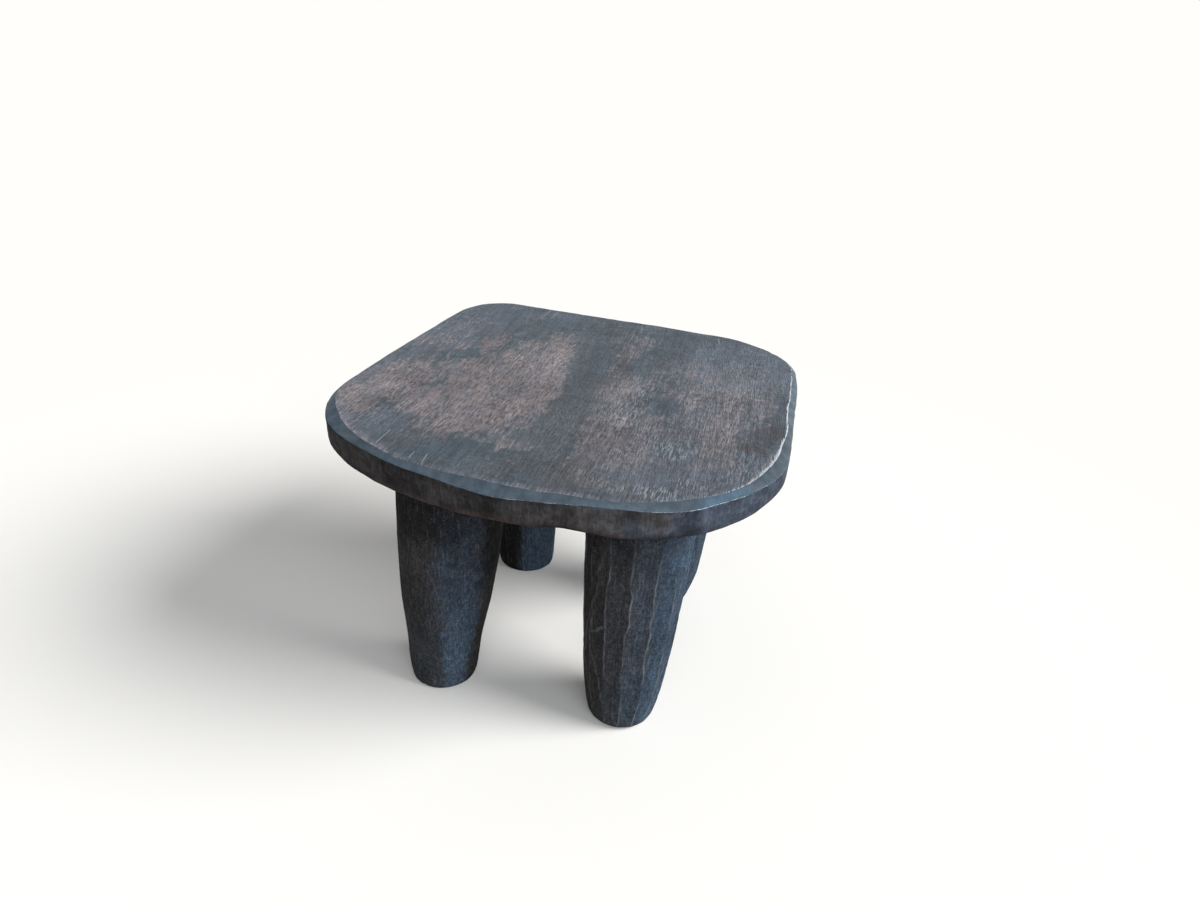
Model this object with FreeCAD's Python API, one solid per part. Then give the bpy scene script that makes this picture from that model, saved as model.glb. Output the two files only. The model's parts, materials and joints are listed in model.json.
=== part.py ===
import FreeCAD, Part
import math
import os

# A low carved stool: one dished, bow-sided seat slab on four tapered, adzed legs.
# Millimetres, +Z up, front towards -Y, origin on the floor under the middle of the seat's box.

# Overall sizes
stool_height = 267.0
seat_width = 380.0
seat_depth = 392.0
seat_thickness = 26.0

# Seat outline: how far each side bows out over its whole length
front_bow = 65.0
right_bow = 20.0
back_bow = 7.0
left_bow = 3.0

# Where along its length each side stands out most
front_peak_x = 3.0
right_peak_y = -30.0
back_peak_x = -42.0
left_peak_y = -5.0

# Seat corners, seen from above
front_left_radius = 118.0
front_right_radius = 133.0
back_right_radius = 83.0
back_left_radius = 54.0

# Seat edges: a wide bevel on top, a small one below
top_bevel_width = 6.2
top_bevel_drop = 4.2
lower_bevel = 1.2

# Dished sitting surface: it starts inside the bevel and deepens towards a flat middle
rim_crest_width = 1.5
dish_depth = 3.0
dish_middle_share = 0.3
dish_steps = 3

# Legs: the taper swells below the seat by raising height to a power
leg_top_radius = 47.5
leg_foot_radius = 28.0
leg_swell_power = 0.6
leg_levels = 10
foot_bevel = 3.0

# Each leg: its end of the seat, how far in from there its foot stands, how far its top leans
# from over the foot, and its adzed facets
LEGS = {
    "front_left": {"end": (-1, -1), "inset": (104.0, 94.0), "lean": (13.0, 1.5), "facets": 10},
    "front_right": {"end": (1, -1), "inset": (105.5, 105.0), "lean": (2.5, 4.0), "facets": 14},
    "back_right": {"end": (1, 1), "inset": (110.0, 102.0), "lean": (-1.5, 0.0), "facets": 11},
    "back_left": {"end": (-1, 1), "inset": (108.0, 98.5), "lean": (-2.5, -0.5), "facets": 11},
}

# Blind joint: a round tenon on the leg in a mortise in the seat's underside
tenon_radius = 20.0
tenon_clearance = 0.15
tenon_end_gap = 1.0
wood_over_tenon = 7.0

# Hidden wedge that spreads the tenon along the seat's grain
wedge_length = 12.0
wedge_head_thickness = 4.0
wedge_tip_thickness = 1.0
wedge_end_gap = 1.5
kerf_tip_gap = 1.0

seat_underside = stool_height - seat_thickness
mortise_depth = seat_thickness - dish_depth - wood_over_tenon
mortise_floor = seat_underside + mortise_depth
tenon_length = mortise_depth - tenon_end_gap


def point(xy, z):
    return FreeCAD.Vector(xy[0], xy[1], z)


def bow_radius(length, bow):
    """Radius of an arc that stands out by bow over a chord of the given length."""
    return (length * length / 4.0 + bow * bow) / (2.0 * bow)


def side_circles(inset):
    """Centre and radius of the front, right, back and left sides, drawn in by inset."""
    front = bow_radius(seat_width, front_bow)
    right = bow_radius(seat_depth, right_bow)
    back = bow_radius(seat_width, back_bow)
    left = bow_radius(seat_depth, left_bow)
    half_width = seat_width / 2.0
    half_depth = seat_depth / 2.0
    return [
        ((front_peak_x, front - half_depth), front - inset),
        ((half_width - right, right_peak_y), right - inset),
        ((back_peak_x, half_depth - back), back - inset),
        ((left - half_width, left_peak_y), left - inset),
    ]


def inner_tangent_centre(first, second, radius, near):
    """Centre of a circle that touches two circles from inside, on the side nearest to a point."""
    (x1, y1), radius_1 = first
    (x2, y2), radius_2 = second
    reach_1 = radius_1 - radius
    reach_2 = radius_2 - radius
    gap = math.hypot(x2 - x1, y2 - y1)
    along = (reach_1 ** 2 - reach_2 ** 2 + gap ** 2) / (2.0 * gap)
    across = math.sqrt(reach_1 ** 2 - along ** 2)
    ux, uy = (x2 - x1) / gap, (y2 - y1) / gap
    base = (x1 + ux * along, y1 + uy * along)
    options = [(base[0] - uy * s * across, base[1] + ux * s * across) for s in (1.0, -1.0)]
    return min(options, key=lambda c: math.hypot(c[0] - near[0], c[1] - near[1]))


def on_circle(circle, through):
    """The point of a circle that lies on the ray from its centre through another point."""
    (cx, cy), radius = circle
    dx, dy = through[0] - cx, through[1] - cy
    reach = math.hypot(dx, dy)
    return (cx + dx / reach * radius, cy + dy / reach * radius)


def arc_edge(circle, start, end, z):
    """Short arc of a circle between two of its points."""
    middle = ((start[0] + end[0]) / 2.0, (start[1] + end[1]) / 2.0)
    peak = on_circle(circle, middle)
    return Part.Arc(point(start, z), point(peak, z), point(end, z)).toShape()


def seat_outline(z, inset=0.0, share=1.0):
    """Closed outline of the seat at a height: four bowed sides joined by tangent corner arcs."""
    sides = side_circles(inset)
    radii = [front_left_radius, front_right_radius, back_right_radius, back_left_radius]
    box_corners = [
        (-seat_width / 2.0, -seat_depth / 2.0),
        (seat_width / 2.0, -seat_depth / 2.0),
        (seat_width / 2.0, seat_depth / 2.0),
        (-seat_width / 2.0, seat_depth / 2.0),
    ]
    corners = []
    for index in range(4):
        radius = radii[index] - inset
        before, after = sides[index - 1], sides[index]
        centre = inner_tangent_centre(before, after, radius, box_corners[index])
        corners.append((centre, radius))
    edges = []
    for index in range(4):
        corner, following = corners[index], corners[(index + 1) % 4]
        before, side = sides[index - 1], sides[index]
        enter = on_circle(before, corner[0])
        leave = on_circle(side, corner[0])
        reach = on_circle(side, following[0])
        edges.append(arc_edge(corner, enter, leave, z))
        edges.append(arc_edge(side, leave, reach, z))
    outline = Part.Wire(edges)
    if share != 1.0:
        outline.scale(share, FreeCAD.Vector(0.0, 0.0, z))
    return outline


def leg_centre(leg, rise):
    """Centre of a leg at a share of its height: 0 at the floor, 1 under the seat."""
    foot_x = leg["end"][0] * (seat_width / 2.0 - leg["inset"][0])
    foot_y = leg["end"][1] * (seat_depth / 2.0 - leg["inset"][1])
    return (foot_x + leg["lean"][0] * rise, foot_y + leg["lean"][1] * rise)


def make_dish():
    """The wood hollowed out of the top, as a shallow bowl with the seat's own outline."""
    inset = top_bevel_width + rim_crest_width
    sections = []
    for step in range(dish_steps + 1):
        share = 1.0 - (1.0 - dish_middle_share) * step / dish_steps
        fall = (1.0 - share ** 2) / (1.0 - dish_middle_share ** 2)
        sections.append(seat_outline(stool_height - dish_depth * fall, inset, share))
    return Part.makeLoft(sections, True, False)


def make_seat():
    """Seat slab with bevelled edges, dished top and a blind round mortise over each leg."""
    slab = Part.makeLoft([
        seat_outline(seat_underside, lower_bevel),
        seat_outline(seat_underside + lower_bevel),
        seat_outline(stool_height - top_bevel_drop),
        seat_outline(stool_height, top_bevel_width),
    ], True, True)
    seat = slab.cut(make_dish())
    for leg in LEGS.values():
        place = point(leg_centre(leg, 1.0), seat_underside)
        seat = seat.cut(Part.makeCylinder(tenon_radius + tenon_clearance, mortise_depth, place))
    return seat.Solids[0]


def leg_section(leg, z, radius):
    """Many-sided section of a leg, whose flats and ridges lie evenly about the given radius."""
    facets = leg["facets"]
    centre_x, centre_y = leg_centre(leg, z / seat_underside)
    ridge = 2.0 * radius / (1.0 + math.cos(math.pi / facets))
    corners = []
    for index in range(facets + 1):
        angle = 2.0 * math.pi * index / facets
        xy = (centre_x + ridge * math.cos(angle), centre_y + ridge * math.sin(angle))
        corners.append(point(xy, z))
    return Part.makePolygon(corners)


def leg_radius(z):
    rise = z / seat_underside
    return leg_foot_radius + (leg_top_radius - leg_foot_radius) * rise ** leg_swell_power


def wedge_profile(top_x, top_y, tip_gap):
    """Outline of the wedge across its thickness, with a slot of tip_gap below its tip."""
    head = wedge_head_thickness / 2.0
    tip = wedge_tip_thickness / 2.0
    tip_z = mortise_floor - wedge_length
    yz = [(-head, mortise_floor), (-tip, tip_z)]
    if tip_gap > 0.0:
        yz += [(-tip, tip_z - tip_gap), (tip, tip_z - tip_gap)]
    yz += [(tip, tip_z), (head, mortise_floor), (-head, mortise_floor)]
    return Part.Face(Part.makePolygon([FreeCAD.Vector(top_x, top_y + y, z) for y, z in yz]))


def make_leg(leg):
    """Tapered, faceted leg with a bevelled foot, a round tenon on top and a kerf for its wedge."""
    heights = [foot_bevel + (seat_underside - foot_bevel) * level / leg_levels
               for level in range(leg_levels + 1)]
    sections = [leg_section(leg, 0.0, leg_radius(foot_bevel) - foot_bevel)]
    sections += [leg_section(leg, z, leg_radius(z)) for z in heights]
    shaft = Part.makeLoft(sections, True, True)
    top_x, top_y = leg_centre(leg, 1.0)
    tenon = Part.makeCylinder(tenon_radius, tenon_length, point((top_x, top_y), seat_underside))
    kerf_reach = tenon_radius + tenon_clearance
    kerf = wedge_profile(top_x - kerf_reach, top_y, kerf_tip_gap)
    kerf = kerf.extrude(FreeCAD.Vector(2.0 * kerf_reach, 0.0, 0.0))
    return shaft.fuse(tenon).cut(kerf).Solids[0]


def make_wedge(leg):
    """Thin wedge, as wide as the tenon less a gap at each end, seated on the mortise's floor."""
    top_x, top_y = leg_centre(leg, 1.0)
    half_width = tenon_radius - wedge_end_gap
    profile = wedge_profile(top_x - half_width, top_y, 0.0)
    return profile.extrude(FreeCAD.Vector(2.0 * half_width, 0.0, 0.0))


def main():
    nodes = {"seat": make_seat()}
    for name, leg in LEGS.items():
        nodes["leg_" + name] = make_leg(leg)
        nodes["wedge_" + name] = make_wedge(leg)
    os.makedirs("parts", exist_ok=True)
    for name, shape in nodes.items():
        shape.exportStep("parts/" + name + ".step")


main()
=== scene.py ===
import itertools
import json
import math

import bpy
import numpy as np
from mathutils import Matrix, Vector, geometry


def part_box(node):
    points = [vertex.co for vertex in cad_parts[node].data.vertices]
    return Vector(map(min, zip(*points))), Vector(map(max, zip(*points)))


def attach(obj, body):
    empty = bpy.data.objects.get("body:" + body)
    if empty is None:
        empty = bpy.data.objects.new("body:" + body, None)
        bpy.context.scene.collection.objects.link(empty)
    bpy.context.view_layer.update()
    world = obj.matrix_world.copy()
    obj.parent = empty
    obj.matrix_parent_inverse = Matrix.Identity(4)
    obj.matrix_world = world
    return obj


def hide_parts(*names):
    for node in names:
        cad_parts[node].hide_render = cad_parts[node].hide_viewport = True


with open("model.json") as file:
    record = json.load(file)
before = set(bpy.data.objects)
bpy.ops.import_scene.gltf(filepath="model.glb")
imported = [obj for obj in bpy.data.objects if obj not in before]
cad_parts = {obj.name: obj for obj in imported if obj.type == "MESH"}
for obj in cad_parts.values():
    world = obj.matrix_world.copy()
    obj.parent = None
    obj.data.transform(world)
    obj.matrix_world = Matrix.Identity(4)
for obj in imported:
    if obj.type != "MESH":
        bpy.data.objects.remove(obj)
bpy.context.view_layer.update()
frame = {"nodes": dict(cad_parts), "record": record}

# A low stool of blackened, hand-adzed wood: a dished seat slab on four tapered legs.
# Metres, +Z up, front towards -Y. Compass angles are in degrees: 0 is right, -90 is front.

MM = 0.001

# Camera, in the part's own frame
IMAGE_WIDTH = 1200
FOCAL_LENGTH_PIXELS = 824.6
SENSOR_WIDTH = 36
CAMERA_AZIMUTH = 15.74
CAMERA_ELEVATION = 27.32
CAMERA_ROLL = 3.97
CAMERA_TARGET = Vector((0.0715, -0.1696, 0.2963))
CAMERA_DISTANCE = 0.5509

# Studio: a broad key light from the right, a large soft light low at the front right, a softer
# one overhead, and a dim even light from all round
KEY_DIRECTION = Vector((0.805, 0.085, 0.588))
KEY_STRENGTH = 3.7
KEY_SPREAD = math.radians(34)
FILL_DIRECTION = Vector((0.56, -0.8, 0.1)).normalized()
FILL_BRIGHT = (3, 3.15, 3.35, 1)
FILL_EDGE = (0.62, 1)
FILL_DIM = (0.065, 0.062, 0.06, 1)
SKY_LIGHT = (0.21, 0.21, 0.21, 1)
SKY_EDGE = (0.3, 0.9)
BACKDROP = (1, 0.992, 0.96, 1)
FLOOR_COLOUR = (0.95, 0.935, 0.9, 1)
FLOOR_BOUNCE = (0.36, 0.33, 0.3, 1)
FLOOR_SIZE = 8
FLOOR_FADE = (0.55, 0.95)
FLOOR_GLOW = 0.05

# Seat edge as it was cut by hand, in millimetres by compass angle: how wide its bevel is and how far
# it drops, how deep its rim reaches, how far its plan stands out from an even curve, and how far
# inwards the rubbed crest and the grey lip inside it reach
EDGE_SIZES = {
    "bevel": {-152: 5.8, -138: 9.8, -128: 7.8, -113: 3.3, -100: 6, -88: 7.5, -80: 8.3, -72: 8,
        -66: 4.2, -58: 6.4, -45: 5, -35: 4.8, -28: 9.2, -20: 8.8, -16: 7.4, -11: 7.5, -5: 4.2,
        6: 6.6, 25: 6.3, 37: 4.3, 52: 8.8, 63: 4.5, 90: 5.5, 103: 8.2, 126: 5, 139: 7.2, 163: 5.6,
        191: 7.8},
    "drop": {-141: 5.7, -127: 3.2, -109: 4.4, -103: 3.9, -97: 5.7, -89: 7.2, -80: 4.2, -69: 2.2,
        -51: 6.1, -44: 4.6, -36: 4.4, -28: 4.8, 0: 4.5, 60: 4, 120: 4.5, 180: 4.2},
    "depth": {-150: 26.5, -135: 26.2, -120: 28, -96: 28.6, -84: 27.2, -74: 23.6, -63: 28.4,
        -48: 28.5, -42: 28.1, -36: 27.2, -32: 26.3, -29: 23.9, -20: 23.6, -8: 25.2, 20: 26,
        90: 25.5, 150: 26.5},
    "shift": {-170: -1.3, -160: -1.6, -150: 0.3, -140: 1, -120: 0.6, -90: 0, -50: 0.2, -38: 0.4,
        -28: 2, -20: 2.6, -12: 1.3, -5: -0.2, 3: -1.2, 12: -1.4, 30: 1, 48: 1.2, 60: 0.6, 120: 0,
        150: -1},
    "crest_spread": {-160: 2, -148: 4.2, -130: 3.8, -110: 2.4, -95: 1.2, -60: 1, -45: 1.6, -34: 4.2,
        -28: 5.4, -20: 4.8, -10: 1.7, 36: 1.3, 50: 1, 180: 1.2},
    "lip_reach": {-165: 3, -140: 7.5, -115: 5.5, -100: 5, -80: 5.5, -70: 5, -60: 3, -30: 5.5,
        -20: 5, -10: 2, 180: 2},
}

# Its finish by compass angle: how far the black is rubbed off its crest, its lip, the bevel's outer
# edge and the rim's lower edge; the pale crest and outer edge are partly rubbed wear and partly a
# painted highlight. Painted light and shade: how light each hand-cut facet of the bevel and of the rim
# is painted by the way it faces, how much lighter or darker the rim's lower half is painted than that,
# and how much darker its lower edge is painted, where less than 0 is lighter
EDGE_FINISH = {
    "crest_wear": {-165: 0.25, -150: 0.54, -133: 0.58, -117: 0.52, -111: 0.3, -98: 0.24, -94: 0.42,
        -88: 0.42, -80: 0.54, -70: 0.54, -65: 0.22, -57: 0.26, -47: 0.5, -40: 0.64, -30: 0.7,
        -18: 0.76, -12: 0.92, 15: 0.88, 38: 0.7, 48: 0.35, 70: 0.2, 120: 0.25, 170: 0.25},
    "lip_wear": {-170: 0.2, -152: 0.9, -130: 1, -117: 0.95, -112: 0.7, -107: 0.25, -98: 0.5,
        -85: 0.8, -70: 0.95, -65: 0.3, -58: 0.5, -50: 0.3, -38: 0.6, -20: 0.8, -12: 0.3, 0: 0.2,
        180: 0.2},
    "outer_wear": {-150: 0.2, -135: 0.35, -120: 0.3, -95: 0.45, -88: 0.85, -75: 0.75, -66: 0.65,
        -56: 0.85, -48: 1, -41: 1, -35: 0.6, -24: 0.6, -18: 0.75, 0: 0.65, 40: 0.4, 180: 0.3},
    "lower_wear": {-140: 0.3, -112: 0.8, -92: 1, -84: 0.9, -78: 0.45, -68: 0.4, -62: 0.6, -54: 0.3,
        -38: 0.4, -21: 0.7, -10: 0.3, 90: 0.3, 180: 0.3},
    "bevel_light": {-165: 0.74, -148: 0.74, -140: 0.82, -128: 0.84, -116: 0.98, -112: 1.22,
        -107: 1.08, -98: 0.78, -90: 1.02, -83: 0.8, -79: 1, -73: 0.76, -67: 1.16, -60: 0.82,
        -50: 0.67, -44: 0.75, -40: 0.67, -26: 0.78, -16: 0.84, -11: 0.74, -7: 0.72, -3: 0.79,
        0: 0.86, 5: 1.08, 40: 1, 90: 0.95, 150: 1},
    "rim_light": {-140: 1.45, -121: 1.75, -114: 1, -106: 1, -100: 1.5, -95: 0.76, -88: 0.55,
        -84: 1.25, -76: 1.15, -64: 1.35, -60: 0.62, -56: 1.6, -49: 0.62, -44: 1.45, -39: 0.85,
        -35: 1.35, -30: 1.1, -20: 0.9, 90: 1, 170: 1.2},
    "lower_light": {-120: -0.1, -96: -0.2, -84: 0.1, -74: 0, -60: 0.45, -54: 0, -49: -0.4,
        -42: -0.3, -36: -0.2, -30: 0, 90: 0.1, 180: 0},
    "lower_dark": {-122: 0.6, -116: 0.1, -111: -0.5, -104: -0.1, -98: 0.2, -92: 0.1, -88: -0.7,
        -84: 0.3, -79: 0.75, -72: 0.8, -66: 0.5, -62: 0.4, -56: 0.85, -51: 0.7, -47: 0.3, -41: -0.4,
        -36: 0.2, -31: 0.5, 180: 0.6},
}

# Shares of the rim's height: where the lower half's painted light shows most and how far each way, and
# how far the lower edge's painted tone and the painted shade under the bevel reach. How dark that shade
# is, and how much lighter the bevel is painted at its outer edge than at its crest
LIGHTEST_SHARE = 0.24
LIGHTEST_REACH = 0.2
LOWER_EDGE_REACH = 0.2
UNDER_BEVEL_REACH = 0.2
UNDER_BEVEL_PAINTED_SHADE = 0.14
BEVEL_FALL = 0.24

# Seat slab
SIDE_COLUMNS = 184
SHEET_PASSES = 120
CORNER_ANGLES = (-135, -45, 45, 135)
SMOOTHING_COLUMNS = 40
OUTLINE_SMOOTHING = 0.004
STATION_SMOOTHING = 0.005
DISH_DEPTH = 0.003
LIP_WIDTH = 0.024
RIM_UNDERCUT = 0.0006
UNDERCUT_POWER = 1.5
LOWER_ROUNDING = 0.0034
EDGE_ROUNDING = 0.0006
CREST_ROUNDING = 0.00012
NICK_DEPTH = 0.0005
NICK_LEAST = 0.3
RUST_HEIGHT = 0.0055
RUST_STRONGEST = 1.2
PATCHY_MEAN = 0.55
GRAIN_TURN = math.radians(4)

# Where the rings of its edge lie: shares of the underside's lip, degrees round the lower edge, rows
# up the rim, shares of the outer rounding inwards and down, shares of the bevel, and steps inwards
UNDER_SHARES = (0, 0.25, 0.5, 0.75)
LOWER_TURNS = (0, 22.5, 45, 67.5)
RIM_ROWS = 15
OUTER_SHARES = (0.25, 0.35)
BEVEL_SHARES = np.linspace(0.06, 0.94, 9)
CREST_SHARE = 0.985
CREST_STEPS = (0.0005, 0.0012, 0.0024, 0.0042, 0.0066, 0.0098)

# From where to where scoops start inside the crest and beside a leg, nicks show in a noise, and the
# lip ends as a share of its reach
SCOOP_FADE = (0, 0.12)
LEG_FADE = (0.003, 0.012)
NICK_FADE = (0.25, 0.6)
LIP_FADE = (0.6, 1.4)

# The seat's finishes, in the order of its material slots, and the one that each zone takes
RIM_FINISH, BEVEL_FINISH, TOP_FINISH = range(3)
ZONE_FINISH = {
    "under": RIM_FINISH, "lower": RIM_FINISH, "rim": RIM_FINISH,
    "outer": BEVEL_FINISH, "bevel": BEVEL_FINISH, "crest": TOP_FINISH, "top": TOP_FINISH,
}

# Adze cuts: width across the grain, length along it, depth, how much of that stands proud, and a
# seed; on the rim, width round it and height
TOP_CUT = (0.022, 0.036, 0.0006, 0.6, 7)
UNDER_CUT = (0.034, 0.06, 0.0012, 1, 9)
RIM_CUT = (0.023, 0.04, 0.0006, 0.6, 17)

# Where a cut's middle lies in its cell, across and along: a first share and how far past it. How
# unevenly deep the cuts are
CUT_MIDDLE = ((0.2, 0.6), (0.1, 0.8))
CUT_UNEVEN = 0.35

# Unevenness of the hand work, as sums of noises: how much, the size of a bump in metres, and a seed
# or, on a leg, what is added to its own
UNEVEN = {
    "plan": ((0.0004, 0.04, 1), (0.0002, 0.013, 2)),
    "bevel": ((0.1, 0.016, 3), (0.05, 0.006, 16)),
    "drop": ((0.06, 0.018, 4),),
    "depth": ((0.0003, 0.012, 5),),
    "grain": ((0.004, 0.03, 6),),
    "tool": ((0.00012, (0.005, 0.014, 1), 8),),
    "rim": ((0.0002, 0.006, 11),),
    "chatter": ((0.00022, 0.012, 12),),
    "nicks": ((1, 0.0035, 13),),
    "patchy": ((0.45, 0.009, 14),),
    "lip": ((0.3, 0.006, 15),),
    "ridge_degrees": ((3, 0.045, 0), (1.4, 0.014, 0), (0.9, 0.006, 0)),
    "ridge_stretches": ((1, 0.026, 3),),
    "ridge_rubbed": ((0.35, 0.005, 4),),
    "crossing": ((0.002, 0.012, 0),),
    "chips": ((0.00025, (0.009, 0.009, 0.022), 1), (0.0001, 0.004, 2)),
    "area": ((0.6, 0.02, 0), (0.5, 0.006, 1)),
    "area_rise": ((0.5, 0.01, 2),),
    "area_share": ((0.14, 0.005, 3),),
}

# Where the top is rubbed through to a mauve brown, and palest of all, where it stays dark or turns
# a dark brown, where the stain is paler or duller, and where short pale cuts lie close together:
# middle and reach, each across and along, in millimetres, and a share
WORN_PATCHES = (
    (-46, 56, 24, 74, 1), (-112, 62, 18, 44, 0.75), (-72, -40, 66, 98, 0.95),
    (-95, 40, 50, 70, 0.62), (-146, -42, 26, 48, 0.9), (-156, -106, 34, 34, 1),
    (-160, 40, 26, 50, 0.45), (-158, 112, 26, 26, 0.35), (16, 105, 15, 46, 0.75),
    (36, 5, 12, 44, 0.85), (67, -22, 8, 40, 0.8), (47, -51, 23, 15, 0.95), (62, -98, 42, 40, 0.8),
    (134, -48, 22, 80, 0.75), (100, -5, 72, 125, 0.5), (45, -150, 46, 13, 0.5),
    (-12, -132, 24, 12, 0.65),
)
PALEST_PATCHES = (
    (-44, 68, 22, 56, 1), (-166, -76, 20, 64, 1), (36, 8, 9, 36, 0.9), (48, -50, 20, 11, 0.8),
    (134, 20, 44, 90, 0.5), (-80, -90, 40, 36, 0.35),
)
DARK_PATCHES = (
    (-122, 27, 6, 16, 0.9), (-115, -45, 8, 20, 0.7), (-128, -102, 8, 5, 0.7),
    (-175, -8, 9, 20, 0.5), (-36, -146, 22, 14, 0.9), (-92, 88, 9, 38, 0.5), (76, -4, 15, 15, 0.45),
    (104, -86, 16, 19, 0.3), (-105, -130, 24, 16, 0.3), (-24, 125, 19, 48, 0.7),
    (-4, 48, 18, 64, 0.8), (9, -48, 17, 64, 0.6), (20, -126, 16, 44, 0.4),
)
BROWN_PATCHES = ((167, -62, 12, 9, 0.85), (172, -32, 7, 20, 0.5), (25, 68, 9, 8, 0.5))
PALE_PATCHES = (
    (-120, 176, 62, 18, 0.6), (-150, 110, 34, 70, 0.7), (-112, -134, 34, 24, 0.6),
    (130, 110, 56, 64, 0.95), (-176, -40, 16, 90, 1), (120, -120, 56, 44, 0.7),
)
DULL_PATCHES = ((10, -40, 24, 90, 0.9), (50, -150, 46, 26, 0.9))
CUT_PATCHES = (
    (104, -158, 32, 10, 1), (132, -138, 20, 12, 0.8), (104, -86, 17, 19, 0.9),
    (48, -8, 24, 46, 0.6), (160, -98, 14, 34, 0.6), (-70, -20, 60, 110, 0.3),
    (130, 40, 40, 90, 0.35),
)

# Where the bevel has a painted blue sheen, in the same way
BEVEL_SHEEN_PATCHES = ((158, -140, 22, 22, 1), (-164, -126, 34, 38, 0.8))

# Single pale scratches on the top: both ends, in millimetres
SCRATCHES = (
    (-67, -180, -68, -170), (-55, -184, -58, -169), (-100, -169, -102, -145), (-65, -104, -62, -99),
    (-97, 157, -96, 185), (-87, 162, -87, 190), (92, 182, 96, 166),
)
SCRATCH_WIDTH = 0.0006

# Legs: their taper, their rows, the turns round a foot's lower edge, and at how many times its
# rounding the shaft's own rows start and the chips are at their full depth. Then their joints, and
# how far a cutter starts outside the wood
LEG_TOP_RADIUS = 0.0475
LEG_FOOT_RADIUS = 0.028
LEG_SWELL_POWER = 0.6
LEG_ROWS = 200
FOOT_TURNS = np.radians(np.linspace(0, 80, 6))
SHAFT_START = 1.15
CHIPS_START = 2
TENON_RADIUS = 0.02
TENON_CLEARANCE = 0.00015
MORTISE_OVERRUN = 0.01
MORTISE_STEP = 5
KERF_TIP = 0.001
KERF_OVERRUN = 0.001

# Each leg's adzed flutes: where its ridges stand (compass angles), how strongly they are cut, how far
# each flute is hollowed, how pale its ridges are rubbed, and its own seed. Foot: how far its lower
# edge is rounded off. Swell: how many millimetres stouter it is than an even taper, by share of the
# height. Bow: how many its middle line stands off to the right. A crossing is the end of one cut in
# a flute: the flute's number, its share of the height, and its slant. Stain areas are partly a bluish
# stain and partly a painted blue sheen on sides that face the light; the darkened areas are painted
# shade under the seat and on sides turned from the light, partly a darker finish; pale areas are a
# painted highlight. Each area: from one compass angle to another, between two shares of the height,
# and a share.
LEG_CARVING = {
    "front_left": {
        "ridges": (-150, -111, -71, -18, 15, 50, 88, 122, 158, 188),
        "cut": 0.3, "hollow": 0.0001, "wear": 0, "seed": 11, "foot": 0.0026,
        "swell": {0: 0.5, 0.1: -0.8, 0.18: -1.7, 0.29: -0.1, 0.4: 1.1, 0.55: 1.7, 0.8: 0.8, 1: 0},
        "bow": {0: 0.7, 0.08: 0, 0.2: 0, 0.4: 0.5, 0.6: 1.3, 1: 1.3},
        "stain": ((-70, -20, -0.2, 0.58, 0.9), (-78, -34, 0.3, 0.86, 0.75), (-95, -70, -0.2, 0.5, 0.25),
                  (-150, -95, -0.2, 0.35, 0.2), (150, 215, 0.1, 0.9, 0.5)),
        "shade_and_soot": ((-180, 180, 0.7, 1.3, 0.85), (-180, 180, 0.92, 1.3, 1), (-35, 12, 0.45, 1.3, 0.92),
                 (-22, 12, -0.2, 0.5, 0.35), (-112, -72, 0.2, 0.6, 0.1), (-66, -22, 0.5, 1.3, 0.46)),
    },
    "front_right": {
        "ridges": (-147, -131, -105, -80, -53, -29, -5, 20, 46, 72, 98, 124, 150, 180),
        "cut": 1, "hollow": 0.0005, "wear": 0.85, "seed": 23, "foot": 0.0055,
        "swell": {0: -1, 0.05: 0.1, 0.16: 0.7, 0.25: 1.1, 0.45: 1, 0.6: 0.6, 0.8: 0.2},
        "crossings": ((1, 0.7, 0.13), (1, 0.46, 0.014), (1, 0.26, -0.06), (0, 0.4, 0.06),
                      (0, 0.22, -0.045), (9, 0.4, 0.05), (11, 0.5, -0.03), (10, 0.25, 0.015)),
        "stain": ((-56, 62, -0.2, 1.3, 1), (-82, -50, -0.2, 1.3, 0.55), (-106, -80, -0.2, 1.3, 0.22),
                  (120, 170, 0.2, 0.9, 0.5)),
        "shade_and_soot": ((-180, -76, 0.8, 1.3, 0.75), (-180, -34, 0.93, 1.3, 0.95), (30, 180, 0.8, 1.3, 0.55),
                 (-58, -36, -0.2, 1.3, 0.18), (-62, -38, 0.72, 1.3, 0.45), (-26, 12, -0.2, 0.5, 0.18),
                 (-106, -80, 0.3, 0.9, 0.14)),
        "pale": ((-17, 20, 0.7, 1.3, 0.72),),
    },
    "back_right": {
        "ridges": (-160, -124, -92, -60, -27, 4, 38, 70, 104, 138, 169),
        "cut": 0.9, "hollow": 0.0004, "wear": 0.45, "seed": 37, "foot": 0.0045,
        "swell": {0: -4, 0.03: -3.8, 0.055: -3, 0.085: -1.2, 0.12: 0},
        "crossings": ((6, 0.35, 0.06), (8, 0.5, -0.04), (7, 0.2, 0.012)),
        "stain": ((-95, 50, -0.2, 1.3, 1), (110, 160, 0.1, 0.8, 0.5)),
        "shade_and_soot": ((-180, 180, 0.88, 1.3, 0.6), (-95, 50, 0.1, 1.3, 0.3)),
    },
    "back_left": {
        "ridges": (-165, -138, -108, -75, -40, -8, 26, 58, 92, 126, 158),
        "cut": 0.85, "hollow": 0.0004, "wear": 0.3, "seed": 41, "foot": 0.001,
        "swell": {0: 1.6, 0.04: 0, 0.15: -1.1, 0.5: -1, 1: 0},
        "bow": {0: -0.4, 0.08: -2, 0.3: -1.6, 1: 0},
        "crossings": ((8, 0.45, 0.045), (9, 0.3, -0.012), (0, 0.4, 0.06)),
        "stain": ((-78, 45, -0.2, 1.3, 1), (120, 175, 0.1, 0.9, 0.5)),
        "shade_and_soot": ((-165, -82, -0.2, 1.3, 0.95), (-180, 180, 0.85, 1.3, 0.6), (-82, 45, -0.2, 1.3, 0.15)),
    },
}
AREA_SEEDS = {"stain": 5, "shade_and_soot": 9, "pale": 13}
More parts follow.
